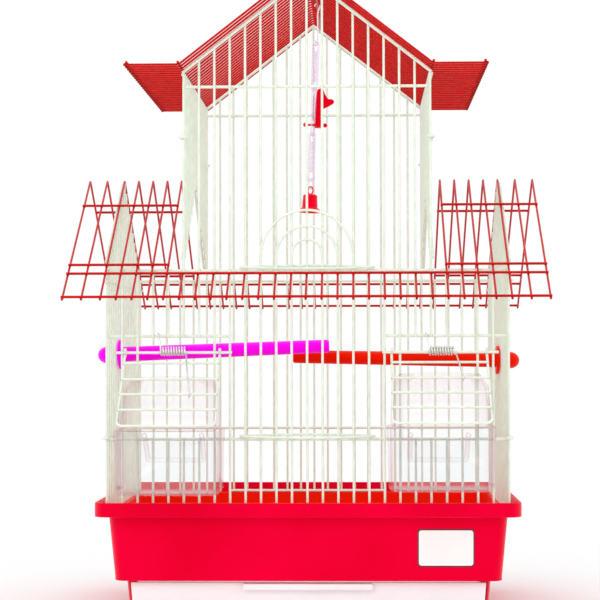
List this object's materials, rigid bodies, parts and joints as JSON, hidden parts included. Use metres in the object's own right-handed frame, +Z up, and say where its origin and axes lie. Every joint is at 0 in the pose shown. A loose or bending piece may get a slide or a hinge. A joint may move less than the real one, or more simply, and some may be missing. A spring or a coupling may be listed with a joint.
{
  "type": "bird cage",
  "caption": "House-shaped wire bird cage with two red wire roofs, a red base with a pull-out drawer, a sliding door, sprung feeder flaps, perches and a hanging toy.",
  "frame": {"origin": "centre of the moulded base's underside, on the surface the cage stands on", "axes": "+Z up, +X towards the right wall seen from the front, -Y out of the front wall with the door and feeders"},
  "size_m": [0.358, 0.3313, 0.4856],
  "materials": {
    "white_wire": "glossy white enamel with a pale green cast on steel wire",
    "red_wire": "glossy red enamel on steel wire",
    "spring_steel": "bright drawn spring steel",
    "red_base": "glossy red moulded plastic",
    "white_drawer": "satin white moulded plastic",
    "white_plastic": "satin white moulded plastic",
    "clear_plastic": "clear polished styrene",
    "magenta_perch": "bright magenta moulded plastic",
    "scarlet_plastic": "bright red moulded plastic",
    "lilac_plastic": "translucent lilac plastic"
  },
  "bodies": {
    "cage": {"base": "red_base", "front_panel": "white_wire", "back_panel": "white_wire", "left_wall": "white_wire", "right_wall": "white_wire", "tower_left_wall": "white_wire", "tower_right_wall": "white_wire", "lower_roof": "red_wire", "top_roof": "red_wire", "left_flap_spring": "spring_steel", "right_flap_spring": "spring_steel", "left_feeder_cup": "clear_plastic", "right_feeder_cup": "clear_plastic", "left_feeder_hood": "clear_plastic", "right_feeder_hood": "clear_plastic", "left_feeder_rail": "clear_plastic", "right_feeder_rail": "clear_plastic", "left_perch": "magenta_perch", "right_perch": "scarlet_plastic", "left_perch_knob": "magenta_perch", "right_perch_knob": "scarlet_plastic"},
    "drawer_body": {"drawer": "white_drawer"},
    "door": {"main_door": "white_wire"},
    "left_flap": {"left_feeder_flap": "white_wire"},
    "right_flap": {"right_feeder_flap": "white_wire"},
    "hook": {"toy_hook": "white_plastic"},
    "link_1": {"toy_link_1": "lilac_plastic"},
    "link_2": {"toy_link_2": "lilac_plastic", "toy_bird": "scarlet_plastic", "toy_pin": "scarlet_plastic"},
    "link_3": {"toy_link_3": "lilac_plastic"},
    "ring": {"bell_ring": "scarlet_plastic"},
    "bell_shell": {"bell": "scarlet_plastic"},
    "clapper": {"bell_clapper": "scarlet_plastic"}
  },
  "joints": [
    {"name": "drawer_slide", "type": "slide", "parent": "cage", "child": "drawer_body", "axis": [0, -1, 0], "range_m": [0, 0.17]},
    {"name": "door_slide", "type": "slide", "parent": "cage", "child": "door", "axis": [0, 0, 1], "range_m": [0, 0.118]},
    {"name": "left_flap_hinge", "type": "hinge", "parent": "cage", "child": "left_flap", "pos_m": [-0.1006, -0.11655, 0.1997], "axis": [-1, 0, 0], "range_deg": [0, 75], "stiffness_Nm_per_rad": 0.006, "springref_deg": -34.38, "deforming": ["left_flap_spring"]},
    {"name": "right_flap_hinge", "type": "hinge", "parent": "cage", "child": "right_flap", "pos_m": [0.0983, -0.11655, 0.1997], "axis": [-1, 0, 0], "range_deg": [0, 75], "stiffness_Nm_per_rad": 0.006, "springref_deg": -34.38, "deforming": ["right_flap_spring"]},
    {"name": "toy_swing", "type": "hinge", "parent": "cage", "child": "hook", "pos_m": [0.006, -0.00596, 0.47796], "axis": [0, 1, 0], "range_deg": [-12, 12]},
    {"name": "link_1_swing", "type": "hinge", "parent": "hook", "child": "link_1", "pos_m": [0.00474, -0.00596, 0.44658], "axis": [0.4996, 0.866, -0.0201], "range_deg": [-10, 10]},
    {"name": "link_2_swing", "type": "hinge", "parent": "link_1", "child": "link_2", "pos_m": [0.00327, -0.00596, 0.40991], "axis": [0.8653, -0.5, -0.0348], "range_deg": [-10, 10]},
    {"name": "link_3_swing", "type": "hinge", "parent": "link_2", "child": "link_3", "pos_m": [0.0018, -0.00596, 0.37344], "axis": [0.4996, 0.866, -0.0201], "range_deg": [-10, 10]},
    {"name": "ring_swing", "type": "hinge", "parent": "link_3", "child": "ring", "pos_m": [0.00034, -0.00596, 0.33697], "axis": [0.8653, -0.5, -0.0348], "range_deg": [-10, 10]},
    {"name": "bell_swing", "type": "hinge", "parent": "ring", "child": "bell_shell", "pos_m": [0.00008, -0.00596, 0.33057], "axis": [0.4996, 0.866, -0.0201], "range_deg": [-10, 10]},
    {"name": "clapper_swing", "type": "hinge", "parent": "bell_shell", "child": "clapper", "pos_m": [-0.00019, -0.00596, 0.32388], "axis": [0.8653, -0.5, -0.0348], "range_deg": [-12, 12]}
  ]
}
